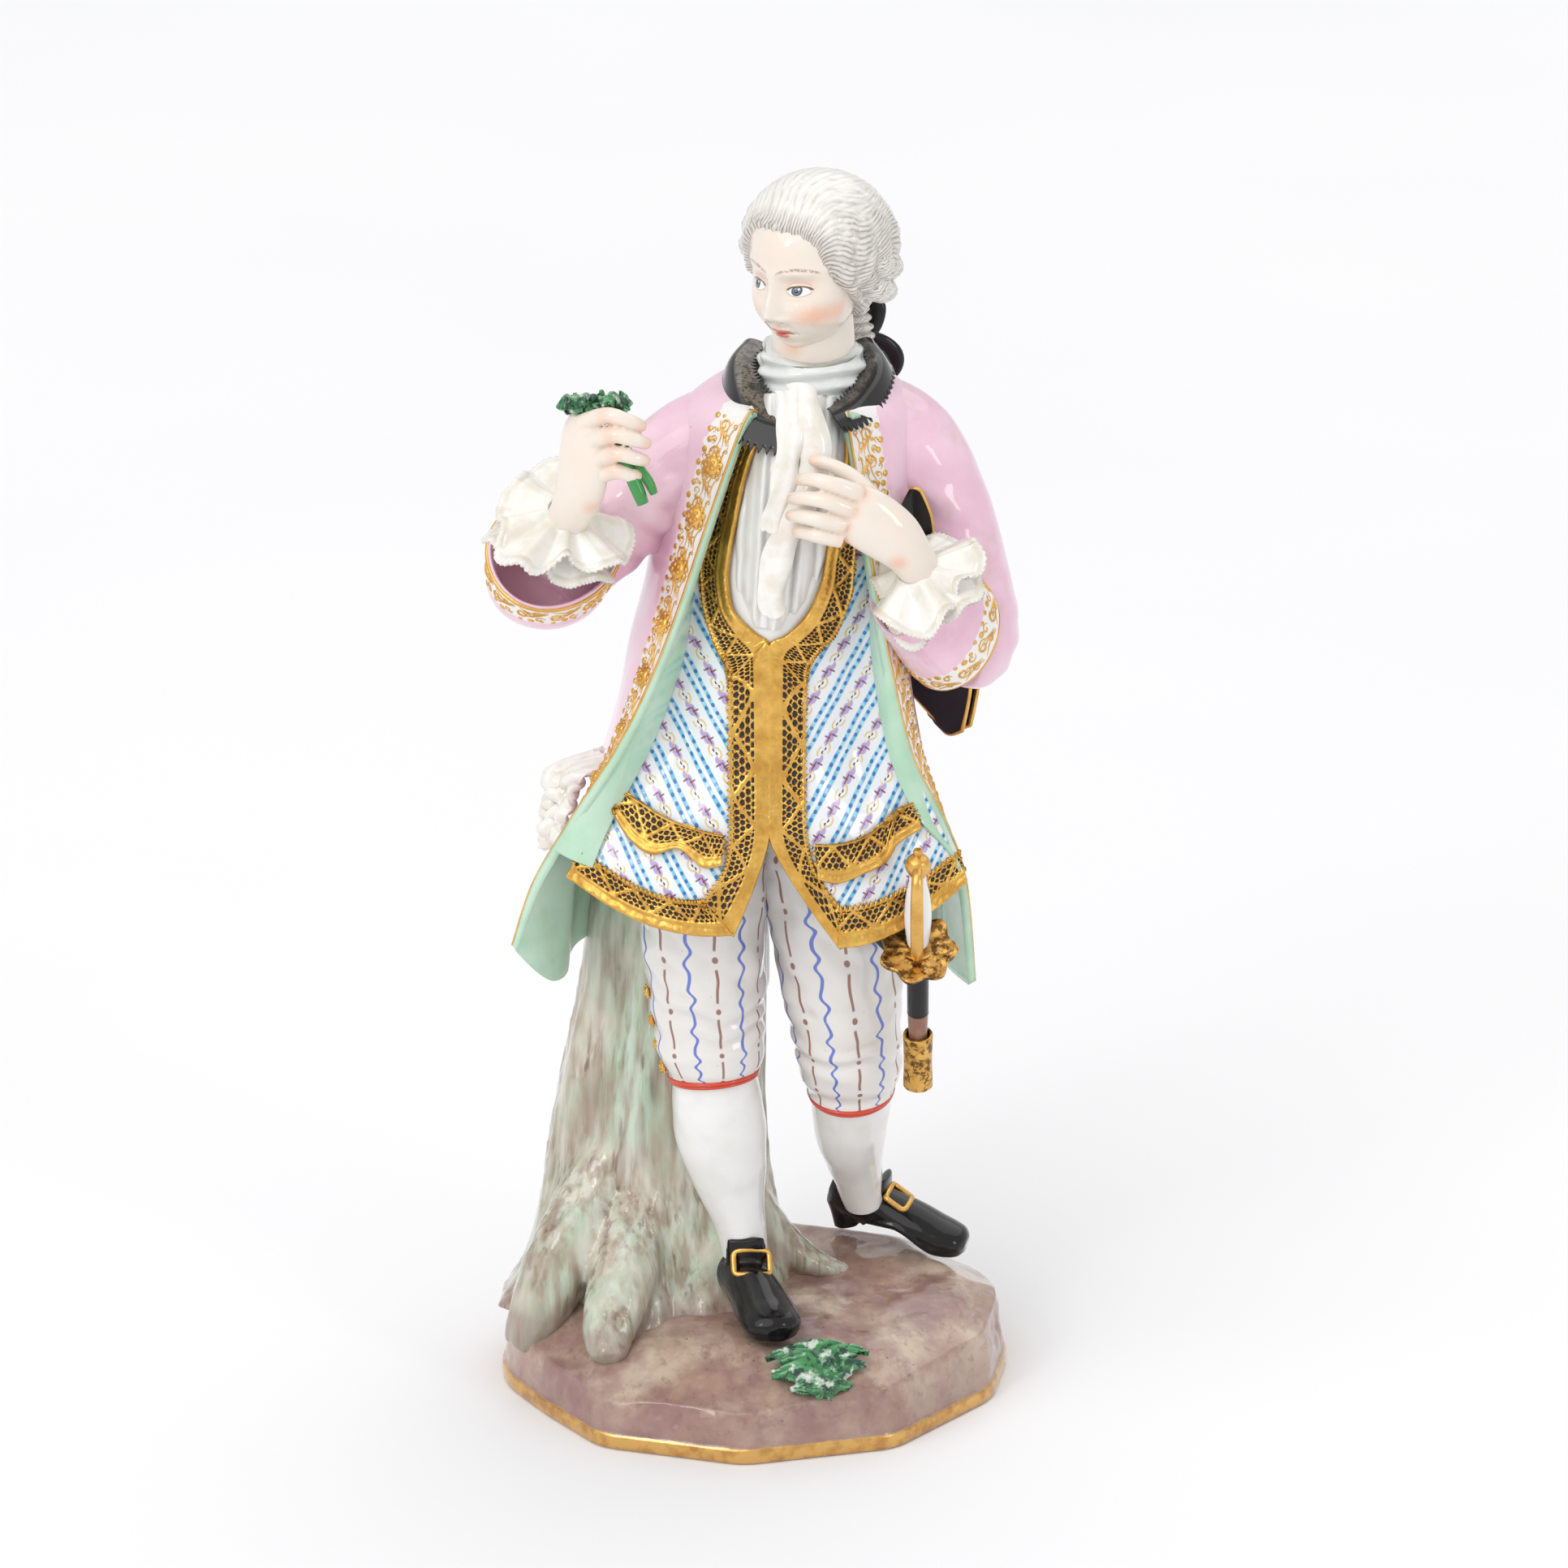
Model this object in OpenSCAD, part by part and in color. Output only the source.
// Porcelain figurine: a gentleman in court dress beside a tree stump, on a rocky base.
// It is luted together from separately moulded pieces. All coordinates are for a 220 mm figure,
// and figure_height scales them. "Right" and "left" are the gentleman's own.

/* [Figure] */
// Height from the underside of the base to the top of the hair
figure_height = 220; // [180:5:260]
// Thickness of the rolled clay sheets: coat skirts, waistcoat skirts and lace
sheet_thickness = 1.6; // [1.2:0.1:2.2]
// Thickness of the fine frills at the wrists and the neck
frill_thickness = 0.9; // [0.7:0.1:1.4]

/* [Base] */
// Height of the gilt band around the foot of the base
rim_height = 3; // [2:0.5:5]
// Height of the ground under the standing shoe
ground_height = 16; // [14:1:18]
// Thickness of the walls around the hollow inside the base
base_wall = 5; // [4:0.5:6]
// Diameter of the firing vent in the underside
vent_diameter = 6; // [4:0.5:9]

/* [Sword] */
// Diameter of the scabbard
scabbard_diameter = 3.8; // [3:0.2:4.4]
// Outer diameter of the metal sleeve on the scabbard
sleeve_diameter = 5; // [4.8:0.2:6]
// Lean of the sword, hilt forward, from upright, in degrees
sword_lean = 15; // [12:1:20]

/* [Hidden] */
unit = figure_height / 220;

// ---- shaping tools ----

function unit_vector(v) = v / max(norm(v), 0.000001);
function spot(s) = [s[0], s[1], s[2]];
function spline(a, b, c, d, t) =
  0.5 * (2 * b + (c - a) * t + (2 * a - 5 * b + 4 * c - d) * t * t + (3 * b - a - 3 * c + d) * t * t * t);
// A row of numbers or vectors with n steps from each entry to the next, on a smooth curve
function smooth_row(p, n) = concat(
  [for (i = [0:len(p) - 2]) for (k = [0:n - 1])
    spline(p[max(i - 1, 0)], p[i], p[i + 1], p[min(i + 2, len(p) - 1)], k / n)],
  [p[len(p) - 1]]);
function column(grid, j) = [for (row = grid) row[j]];
// A grid of points made finer both ways
function smooth_grid(grid, n) =
  let (wide = [for (row = grid) smooth_row(row, n)],
       tall = [for (j = [0:len(wide[0]) - 1]) smooth_row(column(wide, j), n)])
  [for (i = [0:len(tall[0]) - 1]) column(tall, i)];
function quad(a, b, c, d) = [[a, b, c], [a, c, d]];
function flat(lists) = [for (one = lists) each one];

// A closed solid through a stack of rings; each end is a fan, pushed out to first_tip and last_tip
module skin(rings, first_tip, last_tip) {
  m = len(rings);
  n = len(rings[0]);
  points = concat(flat(rings), [first_tip, last_tip]);
  sides = [for (i = [0:m - 2]) for (j = [0:n - 1])
    each quad(i * n + j, (i + 1) * n + j, (i + 1) * n + (j + 1) % n, i * n + (j + 1) % n)];
  first_fan = [for (j = [0:n - 1]) [m * n, j, (j + 1) % n]];
  last_fan = [for (j = [0:n - 1]) [m * n + 1, (m - 1) * n + (j + 1) % n, (m - 1) * n + j]];
  polyhedron(points, concat(sides, first_fan, last_fan));
}

// A limb or strip swept through stations [x, y, z, radius along side, radius across it]
module limb(stations, side = [1, 0, 0], sides = 16, n = 2, bulge = 0.35) {
  s = smooth_row(stations, n);
  m = len(s);
  ways = [for (i = [0:m - 1]) unit_vector(spot(s[min(i + 1, m - 1)]) - spot(s[max(i - 1, 0)]))];
  rings = [for (i = [0:m - 1])
    let (t = ways[i], u = unit_vector(side - (side * t) * t), w = cross(t, u))
    [for (j = [0:sides - 1]) let (q = 360 * j / sides)
      spot(s[i]) + s[i][3] * cos(q) * u + s[i][4] * sin(q) * w]];
  skin(rings, spot(s[0]) - bulge * min(s[0][3], s[0][4]) * ways[0],
       spot(s[m - 1]) + bulge * min(s[m - 1][3], s[m - 1][4]) * ways[m - 1]);
}

function columns(grid, first, last) = [for (row = grid) [for (j = [first:last]) row[j]]];
// A closed solid between two grids of the same size
module slab(front, back) {
  h = len(front);
  w = len(front[0]);
  points = concat(flat(front), flat(back));
  o = h * w;
  rim = concat([for (j = [0:w - 2]) j], [for (i = [0:h - 2]) i * w + w - 1],
    [for (j = [w - 1:-1:1]) (h - 1) * w + j], [for (i = [h - 1:-1:1]) i * w]);
  r = len(rim);
  front_faces = [for (i = [0:h - 2]) for (j = [0:w - 2])
    each quad(i * w + j, (i + 1) * w + j, (i + 1) * w + j + 1, i * w + j + 1)];
  back_faces = [for (i = [0:h - 2]) for (j = [0:w - 2])
    each quad(o + i * w + j, o + i * w + j + 1, o + (i + 1) * w + j + 1, o + (i + 1) * w + j)];
  edge_faces = [for (k = [0:r - 1])
    each quad(rim[k], rim[(k + 1) % r], o + rim[(k + 1) % r], o + rim[k])];
  polyhedron(points, concat(front_faces, back_faces, edge_faces));
}

// A thin sheet of clay along a grid of control points
function face_way(g, i, j) =
  let (h = len(g), w = len(g[0]),
       across = g[i][min(j + 1, w - 1)] - g[i][max(j - 1, 0)],
       down = g[min(i + 1, h - 1)][j] - g[max(i - 1, 0)][j])
  unit_vector(cross(across, down));
function pushed(g, d) =
  [for (i = [0:len(g) - 1]) [for (j = [0:len(g[0]) - 1]) g[i][j] + d * face_way(g, i, j)]];
module sheet(grid, thickness, n = 2) {
  g = smooth_grid(grid, n);
  slab(pushed(g, thickness / 2), pushed(g, -thickness / 2));
}

// The point at row s and column t of a control grid, lifted off the sheet by d
function held(t, top) = min(max(t, 0), top);
function row_at(p, t) = let (q = held(t, len(p) - 1), i = min(floor(q), len(p) - 2))
  spline(p[max(i - 1, 0)], p[i], p[i + 1], p[min(i + 2, len(p) - 1)], q - i);
function sheet_at(g, s, t) = row_at([for (row = g) row_at(row, t)], s);
function lifted(g, s, t, d) = sheet_at(g, s, t) + d * unit_vector(cross(
  sheet_at(g, s + 0.1, t) - sheet_at(g, s - 0.1, t), sheet_at(g, s, t + 0.1) - sheet_at(g, s, t - 0.1)));
// The part of a sheet between two rows and two columns, lifted off it: rows and columns are lists
function cut_from(g, rows, columns, d) = [for (s = rows) [for (t = columns) lifted(g, s, t, d)]];

// A gathered frill around a wrist: a wavy cone from inner to outer radius, closed in a ring
module frill(centre, axis, up, inner, outer, drop, waves, wave_depth, thickness, sides = 40) {
  t = unit_vector(axis);
  u = unit_vector(up - (up * t) * t);
  w = cross(t, u);
  radii = [inner, (inner + outer) / 2, outer];
  function place(r, q, lift) =
    let (grow = (r - inner) / (outer - inner))
    centre + r * (cos(q) * u + sin(q) * w) + (lift - drop * grow + wave_depth * grow * cos(waves * q)) * t;
  top = [for (r = radii) [for (j = [0:sides - 1]) place(r, 360 * j / sides, thickness / 2)]];
  under = [for (r = [radii[2], radii[1], radii[0]])
    [for (j = [0:sides - 1]) place(r, 360 * j / sides, -thickness / 2)]];
  rings = concat(top, under);
  m = len(rings);
  n = sides;
  polyhedron(flat(rings), [for (i = [0:m - 1]) for (j = [0:n - 1])
    each quad(i * n + j, i * n + (j + 1) % n, ((i + 1) % m) * n + (j + 1) % n, ((i + 1) % m) * n + j)]);
}

// ---- base and stump ----

base_outline = [
  [45, 3], [44, 16], [33, 28], [14, 36], [-10, 37], [-31, 31], [-43, 16], [-45.5, 0],
  [-44, -7], [-37, -18], [-27, -31], [-2, -38], [24.5, -31.5], [42, -12]];
// The vent is off the middle, under the stump
vent_place = [-18, 8];
// The outline drawn in by a share, as if the rock stepped in
function base_ring(share, z, lift = 0) =
  [for (p = base_outline) [p[0] * share, p[1] * share, z + lift * p[1] / 38]];

module rock_base() color("rosybrown") difference() {
  skin([base_ring(0.985, 0), base_ring(1, rim_height), base_ring(0.985, 9.5),
    base_ring(0.93, ground_height - 3.2, 1), base_ring(0.8, ground_height - 1.2, 1),
    base_ring(0.45, ground_height - 0.2, 1)],
    [0, 0, 0], [0, 0, ground_height]);
  skin([base_ring(0.8, base_wall), base_ring(0.72, ground_height - base_wall)],
    [0, 0, base_wall], [0, 0, ground_height - base_wall]);
  translate([vent_place[0], vent_place[1], -1])
    cylinder(d = vent_diameter / unit, h = base_wall + 2, $fn = 48);
}

module tree_stump() color("darkseagreen") limb([
  [-18, 7.5, 12.5, 27, 20], [-17.5, 8, 19, 24, 17], [-17.5, 9, 28, 21.5, 14], [-17.5, 10, 40, 20, 12],
  [-16.5, 10.5, 55, 18.5, 11.5], [-14.5, 11.5, 70, 17, 11], [-13.5, 12, 85, 16, 10.5], [-12, 12, 98, 15, 9.5],
  [-10, 12, 108, 13, 8]], sides = 20);

module base_leaf() color("seagreen") sheet([
  [[3, -26.5, 15.6], [8, -24, 17.4], [14, -24, 17.4], [19, -26.5, 15.4]],
  [[4.5, -29.5, 14.4], [9.5, -28.5, 16.2], [14.5, -29, 16], [18.4, -30.5, 13.8]],
  [[8, -33.5, 12.2], [10.5, -33.8, 13.2], [13.5, -34.2, 12.8], [16, -34.6, 11.6]]], sheet_thickness);

// ---- legs ----

right_breeches = [
  [-7, 1, 110, 11.5, 11.5], [-8.6, 0, 99, 11.6, 11.4], [-9, -1.5, 88, 11.2, 11], [-8.2, -3, 76, 10.2, 10],
  [-7.6, -4.4, 66, 8.7, 8.8], [-7.2, -5, 60.2, 7.9, 8]];
left_breeches = [
  [10.5, 2, 110, 11.5, 11.5], [12, 1.5, 97, 11.8, 11.4], [13.8, 0.5, 84, 11, 11], [15.7, 0, 70, 9.7, 10],
  [16.6, 0.8, 61, 8.6, 8.8], [16.9, 2.4, 54, 7.5, 7.8]];

module right_breeches_leg() color("whitesmoke") limb(right_breeches, bulge = 0.05);
module left_breeches_leg() color("whitesmoke") limb(left_breeches, bulge = 0.05);
module right_stocking() color("white") limb([
  [-7.2, -5, 60, 7.3, 7.4], [-6.6, -3.6, 54, 8, 7.8], [-5.9, -2.4, 47, 8, 7.8], [-4.7, -2.2, 40, 6.7, 6.7],
 
  [-3.3, -2.6, 33, 5, 5.3], [-2.1, -3, 27, 4.1, 4.6], [-1.7, -3.2, 22.6, 3.9, 4.6]], sides = 14, bulge = 0.05);
module left_stocking() color("white") limb([
  [16.9, 2.5, 53.8, 6.8, 7.1], [16.9, 6.2, 47.4, 6.7, 6.9], [17, 9.4, 42, 6.1, 6.5], [17.7, 12.8, 36, 5, 5.4],
  [18.7, 15.6, 30, 4.1, 4.5], [19.6, 17, 26.4, 3.7, 4.2]], sides = 14, bulge = 0.05);

// Both shoes are one last, swept from heel to toe
module shoe(stations, side) limb(stations, side = side, sides = 14, bulge = 0.5);
module right_shoe() color("black") shoe([
  [-4.2, 2.4, 20.2, 3, 3.6], [-3.6, 0, 20.8, 4.4, 4.7], [-2.4, -4.5, 21.3, 4.7, 5.3],
  [-0.8, -9.5, 20.9, 4.6, 4.7],
  [1, -14.5, 19.6, 4.9, 3.6], [2.8, -19, 18.7, 4.4, 2.8], [3.8, -21.6, 18.2, 2.8, 1.8]], [1, 0, 0]);
module left_shoe() color("black") {
  shoe([
    [14.2, 20.4, 27, 2.8, 3], [16.8, 19.6, 26, 4.2, 4.2], [20.6, 18.5, 25, 4.6, 4.9], [25, 17.2, 22.9, 4.6, 4.4],
    [29.6, 15.8, 20.6, 4.8, 3.5], [33.8, 14.6, 19, 4.2, 2.7], [36.4, 13.8, 18.3, 2.6, 1.7]], [0.27, 0.96, 0]);
  hull() {
    translate([15.6, 20, 23]) sphere(2.4, $fn = 12);
    translate([16.6, 19.8, 20.4]) sphere(1.9, $fn = 12);
  }
}
// A plain open frame
module buckle(width, length) difference() {
  cube([width, length, 1], center = true);
  cube([width - 1.6, length - 1.6, 3], center = true);
}
module right_shoe_buckle() color("goldenrod")
  translate([-0.4, -9.6, 25.8]) rotate([32, 6, -18]) buckle(6.4, 4.6);
module left_shoe_buckle() color("goldenrod")
  translate([25.6, 17, 27]) rotate([0, 32, -16]) buckle(4.6, 6.4);
module knee_buttons() color("goldenrod")
  for (p = [[-18.6, -3.6, 75], [-17.6, -4.4, 70], [-16.8, -5, 66], [-15.2, -5.6, 62]])
    translate(p) sphere(1.1, $fn = 20);

// ---- body ----

torso = [
  [8.5, 0, 182, 11, 8], [8.5, -1, 176, 16, 11.5], [8, -2, 168, 17, 13.5], [6.6, -3, 158, 16.2, 14.6],
  [4.8, -3, 148, 15.4, 15], [3.2, -3, 138, 16, 15.8], [2.2, -2.8, 128, 17.8, 16.8],
  [1.8, -2, 118, 19.6, 17.6],
  [2, -1, 110, 20.6, 17.6]];
module waistcoat_body() color("aliceblue") limb(torso, sides = 24, bulge = 0.05);

skirt_right = [
  [[-20.8, -10, 119], [-15, -16.4, 119], [-7, -20.2, 118.6], [1.8, -21.2, 118]],
  [[-26.4, -13, 110.6], [-18, -19, 109], [-8, -22.4, 108], [1.6, -23, 108.4]],
  [[-30, -15.4, 104.6], [-20, -21, 101.4], [-9.5, -24, 99.6], [-1, -24.6, 100]],
  [[-32, -17.2, 101.6], [-23, -22.2, 96.7], [-12, -25.2, 93.7], [-3.3, -26, 93.6]]];
skirt_left = [
  [[2.6, -21.2, 118], [10.4, -20, 118], [17.8, -16.6, 118], [24.2, -10.6, 118.6]],
  [[3.4, -23, 108.6], [12.4, -22.2, 108], [21.4, -18.4, 108.8], [29.6, -12, 110.4]],
  [[9, -24.4, 99], [17, -23.2, 99.2], [26, -18.8, 101.2], [33.6, -12, 104.2]],
  [[14.4, -24.6, 90.8], [21, -22.8, 92.6], [29, -18.2, 95.8], [36.4, -11.8, 99.6]]];
module waistcoat_skirt_right() color("aliceblue") sheet(skirt_right, sheet_thickness);
module waistcoat_skirt_left() color("aliceblue") sheet(skirt_left, sheet_thickness);

// Where the front of the waistcoat is at a given x and height, lifted off it by d
function torso_part(k, z) = lookup(z, [for (i = [len(torso) - 1:-1:0]) [torso[i][2], torso[i][k]]]);
function on_torso(x, z, d) = [x, torso_part(1, z)
  - (torso_part(4, z) + d) * sqrt(max(1 - pow((x - torso_part(0, z)) / (torso_part(3, z) + d), 2), 0)), z];

// Gold lace: three columns wide, laid on the waistcoat and then on the front edge of its skirt
lace_lift = 1.1;
lace_thickness = 1;
lace_right = [[-0.6, 176, 2.2], [-4, 168, 2.4], [-6, 159, 2.6], [-5.2, 151, 2.7], [-2.4, 144.4, 2.8],
  [-1.4, 136, 2.7], [-1.4, 127, 2.7]];
lace_left = [[16, 175, 2.2], [16.6, 167, 2.4], [15.4, 159, 2.6], [11.8, 151, 2.7], [7.2, 144.4, 2.8],
  [5.8, 136, 2.7], [5.8, 127, 2.7]];
function lace_rows(path) =
  [for (p = path) [for (side = [-1, 0, 1]) on_torso(p[0] + side * p[2], p[1], lace_lift)]];
module front_lace_right() color("goldenrod")
  sheet(concat(lace_rows(lace_right), cut_from(skirt_right, [0, 1, 2, 3], [2.4, 2.7, 3], lace_lift)),
    lace_thickness);
module front_lace_left() color("goldenrod")
  sheet(concat(lace_rows(lace_left), cut_from(skirt_left, [0, 1, 2, 3], [0, 0.35, 0.7], lace_lift)),
    lace_thickness);
hem_rows = [2.4, 2.7, 3];
module hem_lace_right() color("goldenrod")
  sheet(cut_from(skirt_right, hem_rows, [0, 0.8, 1.6, 2.34], lace_lift), lace_thickness);
module hem_lace_left() color("goldenrod")
  sheet(cut_from(skirt_left, hem_rows, [0.78, 1.5, 2.2, 3], lace_lift), lace_thickness);
// A pocket flap hangs on the skirt from row top, sinking by slope for each column
flap_lift = 1.4;
flap_height = 0.75;
module flap(skirt, top, slope, places) sheet([
  for (s = [0, 0.5, 1]) [for (t = places)
    lifted(skirt, top + flap_height * s + slope * t, t, flap_lift)]], flap_lift);
module pocket_flap_right() color("goldenrod") flap(skirt_right, 0.3, 0.16, [0.1, 0.8, 1.5, 2.15]);
module pocket_flap_left() color("goldenrod") flap(skirt_left, 0.75, -0.14, [0.9, 1.5, 2.1, 2.8]);

// ---- shirt, neck and collar ----

module shirt_front() color("ivory") limb([
  [7.6, -6.4, 182, 5.6, 6], [7, -8.6, 175, 7, 7.4], [6, -9.8, 166, 8, 8.6], [4.8, -10.6, 157, 7.8, 9],
  [3.4, -11.6, 150, 5, 7.8], [2.6, -12.6, 145.6, 2, 6]], sides = 16);
module jabot() color("ivory") sheet([
  [[5.6, -13, 186], [7.6, -14.4, 186.6], [9.6, -13.2, 186]],
  [[5.6, -17, 177], [8.4, -19, 177.4], [10.8, -17.4, 177]],
  [[4.8, -19.4, 168], [7.2, -21.4, 168], [10, -20, 168]],
  [[2.6, -20.6, 158], [4.8, -22.4, 158], [7.6, -20.8, 158.4]],
  [[1.6, -20.2, 149.4], [3.4, -21.6, 148.8], [5.4, -20.4, 149.6]]], frill_thickness, n = 3);
module neckcloth() color("ivory") limb([
 
  [10, 3.6, 178, 10.6, 10.2], [9.9, 2.4, 183, 9.6, 9.4], [9.8, 1.4, 188.6, 8.4, 8.4]], sides = 20, bulge = 0.1);
module lace_collar_right() color("dimgray") sheet([
  [[2.4, 8.6, 189], [-0.2, -1, 187.6], [2.8, -8.4, 183.6], [7, -12, 181]],
  [[-0.6, 9, 188.4], [-3.2, -1.6, 186], [-0.6, -11.4, 181.4], [6.2, -15.2, 179]],
  [[-2.6, 9.4, 186], [-5, -2, 183], [-2, -13.4, 178], [5.8, -17.2, 176.6]]], frill_thickness);
module lace_collar_left() color("dimgray") sheet([
  [[12, -12.2, 182], [15.6, -8.2, 184], [19, -1.6, 188], [17.4, 8, 189.4]],
  [[13, -14.4, 180.8], [17.8, -10, 182.2], [21.4, -2, 186.2], [20, 8.4, 188.4]],
  [[14.6, -15.4, 178.8], [20, -11, 180], [23.4, -2.4, 183.4], [22.4, 9, 186]]], frill_thickness);

// ---- coat ----

// Outer and inner faces of the coat body, from its right front edge, round the back, to its left front edge
coat_outer = [
  [[-2.6, -15.4, 180], [-9, -9, 179], [-11, 2, 179], [-4, 12, 181], [9, 15, 183],
    [21, 12, 181], [27, 3, 178], [23, -8, 178], [15.6, -13.6, 180]],
  [[-8, -18, 163], [-14, -11, 162], [-16, 2, 161], [-9, 14, 162], [8, 17.5, 163],
    [23, 14, 162], [29, 3, 160], [26, -8, 161], [18, -16, 163]],
  [[-12.4, -19, 150], [-17.6, -10, 149], [-18.4, 3, 149], [-11.6, 14.4, 150], [5, 18, 150],
    [20, 14.6, 150], [26.4, 3, 149], [25, -8, 149], [19.8, -17, 150]],
  [[-17.4, -19, 137], [-21, -9, 136], [-20.8, 4, 136], [-12.6, 15.6, 136], [3, 19, 136],
    [17, 16, 136], [25, 4, 136], [25.4, -8, 136], [22.8, -16.4, 137]],
  [[-23.4, -18.6, 124.5], [-24.6, -8, 123], [-23.6, 6, 123], [-14.6, 18, 122], [2, 21, 122],
    [17, 18, 122], [25.6, 6, 123], [27.6, -7, 123], [26.4, -15.6, 122]]];
coat_inner = [
  [[0.6, -12.6, 180], [-5.6, -7.4, 179], [-7, 1.4, 179], [-2, 8, 180], [9, 10, 181],
    [17, 8, 180], [22, 1.6, 178], [19, -7, 178], [13.4, -11, 180]],
  [[-4, -14.8, 163], [-9.6, -8.6, 162], [-11, 1.6, 161], [-5, 10, 162], [8, 13, 163],
    [19.4, 10, 162], [24.4, 1.6, 160], [21.8, -7, 161], [15.6, -13.6, 163]],
  [[-8, -15.2, 150], [-12, -7.6, 149], [-12.6, 2, 149], [-7, 10.4, 150], [5, 13.4, 150],
    [16.4, 10.6, 150], [21.6, 2, 149], [20.4, -7, 149], [17, -13.8, 150]],
  [[-11.6, -15.4, 137], [-14.8, -7, 136], [-15, 2.4, 136], [-8.6, 11.6, 136], [3, 14.4, 136],
    [13.4, 11.8, 136], [20, 2.4, 136], [20.4, -7, 136], [18.4, -13.6, 137]],
  [[-16.4, -14.6, 124.5], [-18.4, -6.4, 123], [-18, 4, 123], [-11, 13.8, 122], [2, 16.6, 122],
    [13.4, 13.8, 122], [21, 4, 123], [22.4, -6, 123], [21.6, -12.8, 122]]];
// One panel of the coat, between two of the eight seams counted from the right front edge
coat_outside = smooth_grid(coat_outer, 2);
coat_inside = smooth_grid(coat_inner, 2);
module coat_panel(first, last) slab(columns(coat_outside, first, last), columns(coat_inside, first, last));
module coat_front_right() color("plum") coat_panel(0, 5);
module coat_back() color("plum") coat_panel(5, 11);
module coat_front_left() color("plum") coat_panel(11, 16);

skirts = [
  [[-22.4, -17.4, 123.6], [-23.4, -7, 122.6], [-22.4, 6, 122.6], [-13.6, 17.2, 121.6], [2, 20, 121.6],
    [16, 17.2, 121.6], [24.6, 6, 122.6], [26.4, -6, 122.6], [25.6, -14.6, 121.6]],
  [[-31.5, -16.6, 111], [-28.6, -5.6, 110], [-26.6, 7.4, 109], [-16, 20.4, 108], [2, 23, 108],
    [18, 20.4, 108], [28, 8, 109], [31, -2.4, 110], [32.4, -12, 108.6]],
  [[-38, -13.6, 98.6], [-32.6, -4.6, 96], [-29.6, 9, 96], [-18, 23.4, 95], [1, 25, 95],
    [18, 22.6, 95], [29.6, 10, 95], [33.4, 1, 96], [36.2, -8, 96.4]],
  [[-41.6, -10, 85.6], [-35, -3, 75.6], [-30.6, 8, 80.6], [-19, 24.6, 82], [1, 26, 82],
    [18, 24, 82], [30, 12, 82], [34.4, 4.4, 77], [38.4, -0.6, 75]]];
skirts_outer = pushed(smooth_grid(skirts, 2), sheet_thickness / 2);
skirts_inner = pushed(smooth_grid(skirts, 2), -sheet_thickness / 2);
module skirt_panel(first, last) slab(columns(skirts_outer, first, last), columns(skirts_inner, first, last));
module coat_skirt_right() color("thistle") skirt_panel(0, 5);
module coat_skirt_back() color("thistle") skirt_panel(5, 11);
module coat_skirt_left() color("thistle") skirt_panel(11, 16);
module coat_buttons() color("gold")
  for (p = [[-4.4, -16.4, 174.6], [-7.6, -17.8, 166], [-10.8, -18.8, 157.6], [-14.4, -19.4, 148.6],
      [-17.8, -19.4, 139.6]])
    translate(p) sphere(1.9, $fn = 24);
module handkerchief() color("white") sheet([
  [[-26, -6, 117], [-28, 0, 117.4], [-27.6, 6, 116.6]],
  [[-32, -5, 114], [-35.4, 0.4, 113.6], [-33.4, 6, 113]],
  [[-33.4, -4.4, 107.4], [-37, 1, 107.6], [-34.6, 6.6, 106.8]],
  [[-34, -3.8, 101.6], [-38.4, 1.4, 101], [-36.6, 7, 101.4]]], 2.2);

// ---- right arm, raised with the nosegay ----

module right_sleeve() color("plum") limb([
  [-3, 2, 174, 10, 9], [-9.6, 1, 170.6, 10.6, 9.4], [-18, -1.4, 165, 9.8, 9], [-26, -4.8, 158.6, 9, 8.6],
  [-32, -7.6, 153.4, 8, 7.6]], side = [0, 1, 0]);
module right_cuff() color("plum") difference() {
  limb([[-34.6, -7.6, 149.4, 7, 6.2], [-35.4, -10.6, 151, 10.2, 8.8], [-35, -14, 154.2, 11.4, 10],
    [-34.4, -17, 157.4, 11.6, 10.4]], n = 1, bulge = 0.3);
  limb([[-34.9, -12.4, 153, 7.6, 6.6], [-34.7, -15.4, 155.9, 9.6, 8.4], [-34, -19.4, 160, 9.9, 8.7]],
    n = 1, bulge = 0.1);
}
module right_wrist_frill() color("ivory")
  frill([-31, -22.4, 167.4], [0.3, -0.42, 0.86], [0, 1, 0.4], 3.8, 11.4, 2.4, 8, 1.1, frill_thickness);
// A hand is five rows of finger joints, each a short capsule, over a palm
module finger(joints, r) for (i = [0:len(joints) - 2]) hull() {
  translate(joints[i]) sphere(r, $fn = 10);
  translate(joints[i + 1]) sphere(r * 0.92, $fn = 10);
}
module right_hand() color("bisque") union() {
  finger([[-33, -16, 157], [-29, -24.6, 166.6]], 3.6);
  finger([[-29, -24.6, 166.6], [-26.4, -27, 172.4]], 3.7);
  hull() for (p = [[-26.6, -27, 173], [-28, -26, 181.4], [-22.8, -28, 176.2], [-24.4, -28, 182.6]])
    translate(p) sphere(3, $fn = 10);
  finger([[-26, -27.6, 183.4], [-21.4, -30.4, 184.6], [-18, -30, 184.6]], 1.5);
  finger([[-25, -28.6, 180.8], [-20.4, -31.4, 182.4], [-17.2, -31, 183.4]], 1.5);
  finger([[-24, -29, 178.2], [-20.4, -31.6, 179.2], [-18, -31.4, 180.4]], 1.5);
  finger([[-24.4, -28.6, 174.4], [-21, -30.8, 175.4], [-19.4, -30.8, 177.6]], 1.7);
}
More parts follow.
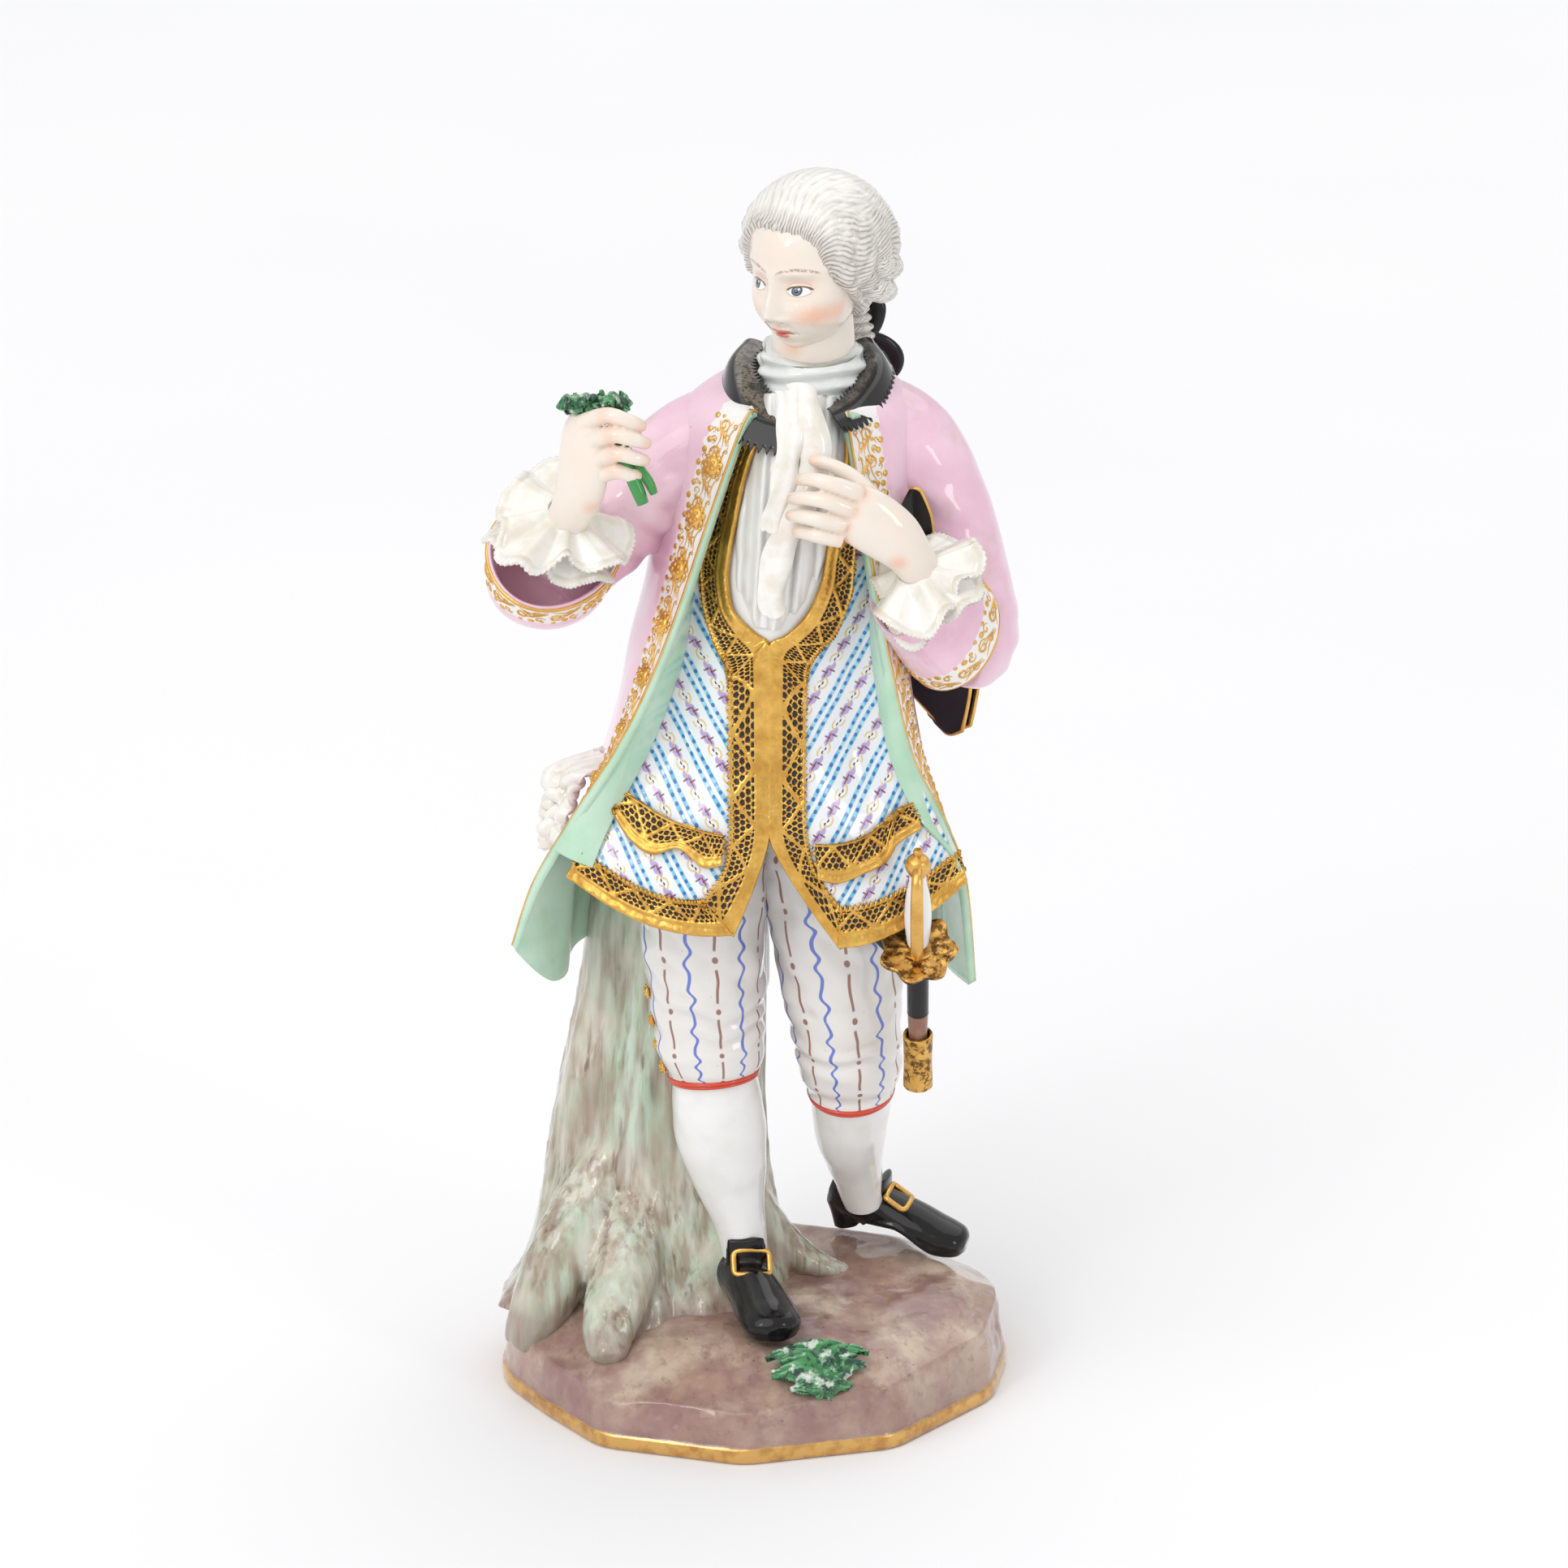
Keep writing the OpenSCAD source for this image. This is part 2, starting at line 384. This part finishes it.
// Each leaf is a small cupped sheet, standing at a spot and turned about the stems
module leaf(place, turn, length) translate(place) rotate([0, 0, turn]) scale(length / 6) sheet([
  [[-1, 0, 0], [0, 0.5, 0], [1, 0, 0]], [[-2.4, -0.6, 2.4], [0, 0.6, 2.8], [2.4, -0.6, 2.4]],
  [[-1.2, -1.6, 5.2], [0, -0.8, 6], [1.2, -1.6, 5.2]]], 1.5);
module nosegay_leaves() color("seagreen") {
  leaf([-28.6, -25.6, 183.6], -50, 5);
  leaf([-24.8, -28, 184.6], 10, 5);
  leaf([-24.6, -22.6, 184], 160, 5.4);
}
module nosegay_stems() color("green") union() {
  translate([-20.6, -29.4, 177.6]) rotate([0, -14, 0]) cube([1.9, 1.7, 9], center = true);
  translate([-19, -28.6, 178.4]) rotate([0, -22, 0]) cube([1.5, 1.5, 6], center = true);
}

// ---- left arm, bent to the chest ----

module left_sleeve() color("plum") limb([
  [21, 3, 174.6, 9, 9], [26.4, 3, 169, 9.4, 9.6], [31.4, 2, 159.6, 8.6, 9], [34.8, -0.4, 149.4, 8.2, 8.6],
  [36, -4, 141.8, 7.8, 8.2]], side = [1, 0, 0]);
module left_cuff() color("plum") difference() {
  limb([[36, -5.8, 140, 6, 6], [35, -8.2, 142, 9.2, 9], [32.4, -11.8, 145.2, 9.6, 9.4],
    [29.2, -15.8, 148.8, 8.2, 8.2], [26.4, -18.8, 152, 7, 7]], n = 1, bulge = 0.3);
  limb([[30.4, -15, 148.4, 5.4, 5.4], [24, -21.2, 154.8, 6.2, 6.2]], n = 1, bulge = 0.1);
}
module left_wrist_frill() color("ivory")
  frill([26.6, -21.4, 157.6], [-0.42, -0.5, 0.76], [0.9, 0, 0.4], 3.9, 9.6, 3, 7, 1.1, frill_thickness);
module left_hand() color("bisque") union() {
  finger([[30, -17, 150.6], [27.4, -21.4, 158]], 3.7);
  finger([[27.4, -21.4, 158], [24.6, -24, 162.6]], 3.8);
  hull() for (p = [[24.4, -24.4, 162.6], [21.4, -25.2, 168.4], [18.4, -25.6, 164], [16.4, -25.8, 171],
      [14.6, -26, 167.4]])
    translate(p) sphere(2.9, $fn = 10);
  finger([[16.4, -26.4, 172.6], [12.4, -26.2, 174.6], [8.6, -23.4, 173.8]], 1.6);
  finger([[15.4, -27.2, 170.2], [10.8, -26.8, 171.8], [7, -23.8, 171]], 1.6);
  finger([[14.6, -27.4, 167.8], [10, -26.8, 168.8], [6.8, -24, 168.2]], 1.6);
  finger([[14.4, -27, 165.4], [10.6, -26.4, 166], [7.6, -24, 165.8]], 1.5);
}

// ---- head ----

// The gentleman looks level with face_turn, his chin lowered by face_tilt
face_turn = 232;
face_tilt = 7;
head_middle = [10, 0.6, 203.4];
module head() color("linen") limb([
  [10, 2.4, 187, 7.2, 7.2], [9.2, 0.4, 190.4, 7.8, 8.8], [8.8, -0.2, 195.6, 10.4, 11.4],
  [9.4, 0.4, 202, 11.8, 13.2],
  [10, 1, 209, 11.6, 13], [10.2, 1.4, 214, 9, 10.2], [10.4, 1.6, 217, 5, 5.6]], sides = 20, bulge = 0.3);
// Hair: a bowl over the back of the head, its edge rising over the forehead and falling at the nape
skull_across = 13.2;
skull_up = 15.6;
hair_under = 0.93;
hair_over = 1.05;
hair_lip = 0.99;
hair_pole = 174;
forward = [cos(face_turn) * cos(face_tilt), sin(face_turn) * cos(face_tilt), -sin(face_tilt)];
upward = unit_vector([0, 0, 1] - forward[2] * forward);
leftward = cross(upward, forward);
function egg(v) = [skull_across * v[0], skull_across * v[1], skull_up * v[2]];
function hair_point(polar, roll, r) = head_middle + r * egg(
  cos(polar) * forward + sin(polar) * cos(roll) * upward + sin(polar) * sin(roll) * leftward);
function hair_edge(roll) = 73 - 36 * cos(roll) + 7 * cos(2 * roll);
function hair_ring(share, r) = [for (j = [0:23]) let (roll = 15 * j, edge = hair_edge(roll))
  hair_point(edge + (hair_pole - edge) * share, roll, r)];
module hair() color("gainsboro") skin(concat(
  [for (k = [4:-1:0]) hair_ring(k / 4, hair_under)],
  [for (k = [0:6]) hair_ring(k / 6, k == 0 ? hair_lip : hair_over)]),
  hair_point(180, 0, hair_under), hair_point(180, 0, hair_over));
// Rolled curls beside the ear
module side_curls() color("gainsboro")
  for (c = [[20.4, 4, 207, 2.8], [21.4, 6, 201, 3], [20, 9, 195.6, 2.7]])
    translate([c[0], c[1], c[2]]) rotate([0, 90, 65]) cylinder(r = c[3], h = 7, center = true, $fn = 40);
module hair_queue() color("lightgray") limb([
  [15, 13, 196, 3.6, 3], [16.6, 15.8, 190, 3.2, 2.8], [18, 17, 184, 2.8, 2.4], [19, 17.2, 177, 2.4, 2],
  [19.4, 17.4, 170, 1.6, 1.4]], sides = 12);
module queue_bow() color("black") union() {
  hull() {
    translate([19.6, 16.4, 190]) sphere(3, $fn = 12);
    translate([18.4, 17.2, 187.4]) sphere(1.8, $fn = 12);
  }
  hull() {
    translate([18.8, 17.4, 186.4]) sphere(1.8, $fn = 12);
    translate([22.8, 18.4, 183]) sphere(2.6, $fn = 12);
  }
  hull() {
    translate([20.6, 18, 184]) sphere(2, $fn = 12);
    translate([22.6, 18.4, 174.6]) sphere(1.6, $fn = 12);
  }
  hull() {
    translate([17, 18, 186]) sphere(1.8, $fn = 12);
    translate([13, 18.6, 187.6]) sphere(2.4, $fn = 12);
  }
}

// ---- hat and sword ----

// The tricorne is tucked under the left arm: two brims pressed together around a low crown
module tricorne_hat() color("black") sheet([
  [[22, 15.4, 155], [27, 13.6, 162], [31.4, 11.4, 158]],
  [[18.6, 16.4, 146], [26, 14.4, 148], [34.4, 10.4, 147]],
  [[19, 16.4, 137], [27, 13.6, 136], [36, 9.6, 137]],
  [[24.6, 14.4, 128.4], [30, 12.4, 126.4], [36, 9.8, 127]],
  [[31, 11.6, 120.4], [33, 10.6, 118.6], [35.4, 9.8, 119.4]]], 3.4);

// The sword's frame: origin at the middle of the shell guard, +Z up its grip
module along_sword() translate([27.9, -21, 89.4]) rotate([sword_lean, 0, -3]) children();
module sword_pommel() color("gold") along_sword() union() {
  translate([0, 0, 17.6]) sphere(2.1, $fn = 32);
  translate([0, 0, 19.2]) cylinder(r = 0.9, h = 1.4, $fn = 24);
}
module sword_grip() color("white") along_sword() rotate_extrude($fn = 32)
  polygon([[0, 1], [1.5, 1], [2, 3], [2.3, 7], [2, 11.4], [1.5, 14], [1.2, 15.6], [0, 15.6]]);
module sword_knuckle_bow() color("gold") along_sword() limb([
  [0, -2, 17.4, 0.9, 0.7], [0, -4, 16.4, 1, 0.8], [0, -5, 12.6, 1.1, 0.8], [0, -5.2, 8.6, 1.1, 0.8],
  [0, -4.8, 4.4, 1.1, 0.8], [0, -3.8, 1.6, 1, 0.8]], sides = 12);
module sword_shell_guard() color("goldenrod") along_sword() difference() {
  translate([0, 0, -0.6]) linear_extrude(1.6)
    polygon([for (q = [0:6:354]) (6 + 0.45 * cos(7 * q)) * [cos(q), sin(q)]]);
  translate([0, 0, 13.4]) sphere(13, $fn = 64);
}
module sword_hanger() color("black") limb([
  [17, -13.4, 96, 3.4, 1.2], [21.4, -14.6, 91.4, 2.8, 1.3], [25, -16, 87.6, 2.4, 1.3],
  [26.6, -17.4, 84.6, 1.8, 1.4]],
  side = [0.7, 0, 0.7], sides = 12);
module scabbard() color("black") along_sword()
  translate([0, 0, -12.8]) cylinder(d = scabbard_diameter, h = 12.2, $fn = 32);
module scabbard_core() color("sienna") along_sword()
  translate([0, 0, -24]) cylinder(d = scabbard_diameter - 0.5, h = 11.2, $fn = 32);
module scabbard_sleeve() color("darkgoldenrod") along_sword() translate([0, 0, -29]) difference() {
  cylinder(d = sleeve_diameter, h = 11, $fn = 40);
  translate([0, 0, -1]) cylinder(d = sleeve_diameter - 0.9, h = 13, $fn = 40);
}

// ---- the figure ----

module placed() scale(unit) children();
placed() rock_base();
placed() tree_stump();
placed() base_leaf();
placed() right_breeches_leg();
placed() right_stocking();
placed() right_shoe();
placed() right_shoe_buckle();
placed() knee_buttons();
placed() left_breeches_leg();
placed() left_stocking();
placed() left_shoe();
placed() left_shoe_buckle();
placed() waistcoat_body();
placed() waistcoat_skirt_right();
placed() waistcoat_skirt_left();
placed() front_lace_right();
placed() front_lace_left();
placed() hem_lace_right();
placed() hem_lace_left();
placed() pocket_flap_right();
placed() pocket_flap_left();
placed() shirt_front();
placed() jabot();
placed() neckcloth();
placed() lace_collar_right();
placed() lace_collar_left();
placed() coat_front_right();
placed() coat_back();
placed() coat_front_left();
placed() coat_skirt_right();
placed() coat_skirt_back();
placed() coat_skirt_left();
placed() coat_buttons();
placed() handkerchief();
placed() right_sleeve();
placed() right_cuff();
placed() right_wrist_frill();
placed() right_hand();
placed() nosegay_leaves();
placed() nosegay_stems();
placed() left_sleeve();
placed() left_cuff();
placed() left_wrist_frill();
placed() left_hand();
placed() head();
placed() hair();
placed() side_curls();
placed() hair_queue();
placed() queue_bow();
placed() tricorne_hat();
placed() sword_pommel();
placed() sword_grip();
placed() sword_knuckle_bow();
placed() sword_shell_guard();
placed() sword_hanger();
placed() scabbard();
placed() scabbard_core();
placed() scabbard_sleeve();
